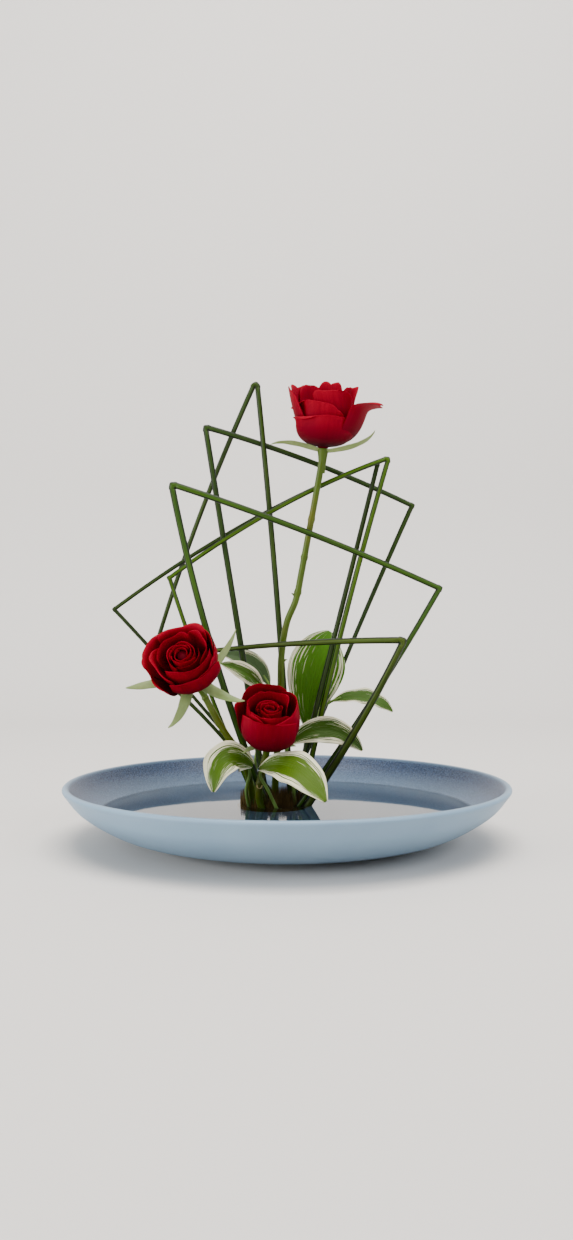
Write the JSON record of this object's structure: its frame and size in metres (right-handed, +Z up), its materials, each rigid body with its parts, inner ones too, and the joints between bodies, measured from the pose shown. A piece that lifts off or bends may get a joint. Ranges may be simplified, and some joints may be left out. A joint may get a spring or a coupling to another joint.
{
  "type": "ikebana arrangement",
  "caption": "Red roses, folded green rushes and variegated hosta leaves on a pin holder in a wide, shallow blue-grey bowl of water",
  "frame": {"origin": "centre of the bowl's foot, on the table", "axes": "+Z up; the viewer looks along +Y, with +X to the right"},
  "size_m": [0.4, 0.4, 0.4164],
  "materials": {
    "glaze": "satin blue-grey glaze",
    "water": "clear still water",
    "pins": "dull brass pins in a lead base",
    "rush": "smooth fresh plant stem",
    "leaf": "satin fresh leaf with cream margins",
    "stem": "satin fresh stem",
    "petal": "velvety petal"
  },
  "bodies": {
    "root": {"bowl": "glaze", "water": "water", "pin_holder": "pins", "rush_tall": "rush", "rush_high": "rush", "rush_wide": "rush", "rush_bright": "rush", "rush_far_left": "rush", "rush_front": "rush", "leaf_tall": "leaf", "leaf_right": "leaf", "leaf_mid": "leaf", "leaf_front": "leaf", "leaf_left": "leaf", "leaf_back_upper": "leaf", "leaf_back_lower": "leaf", "rose_top_stem": "stem", "rose_top_bloom": "petal", "rose_left_stem": "stem", "rose_left_bloom": "petal", "rose_low_stem": "stem", "rose_low_bloom": "petal"}
  },
  "joints": []
}
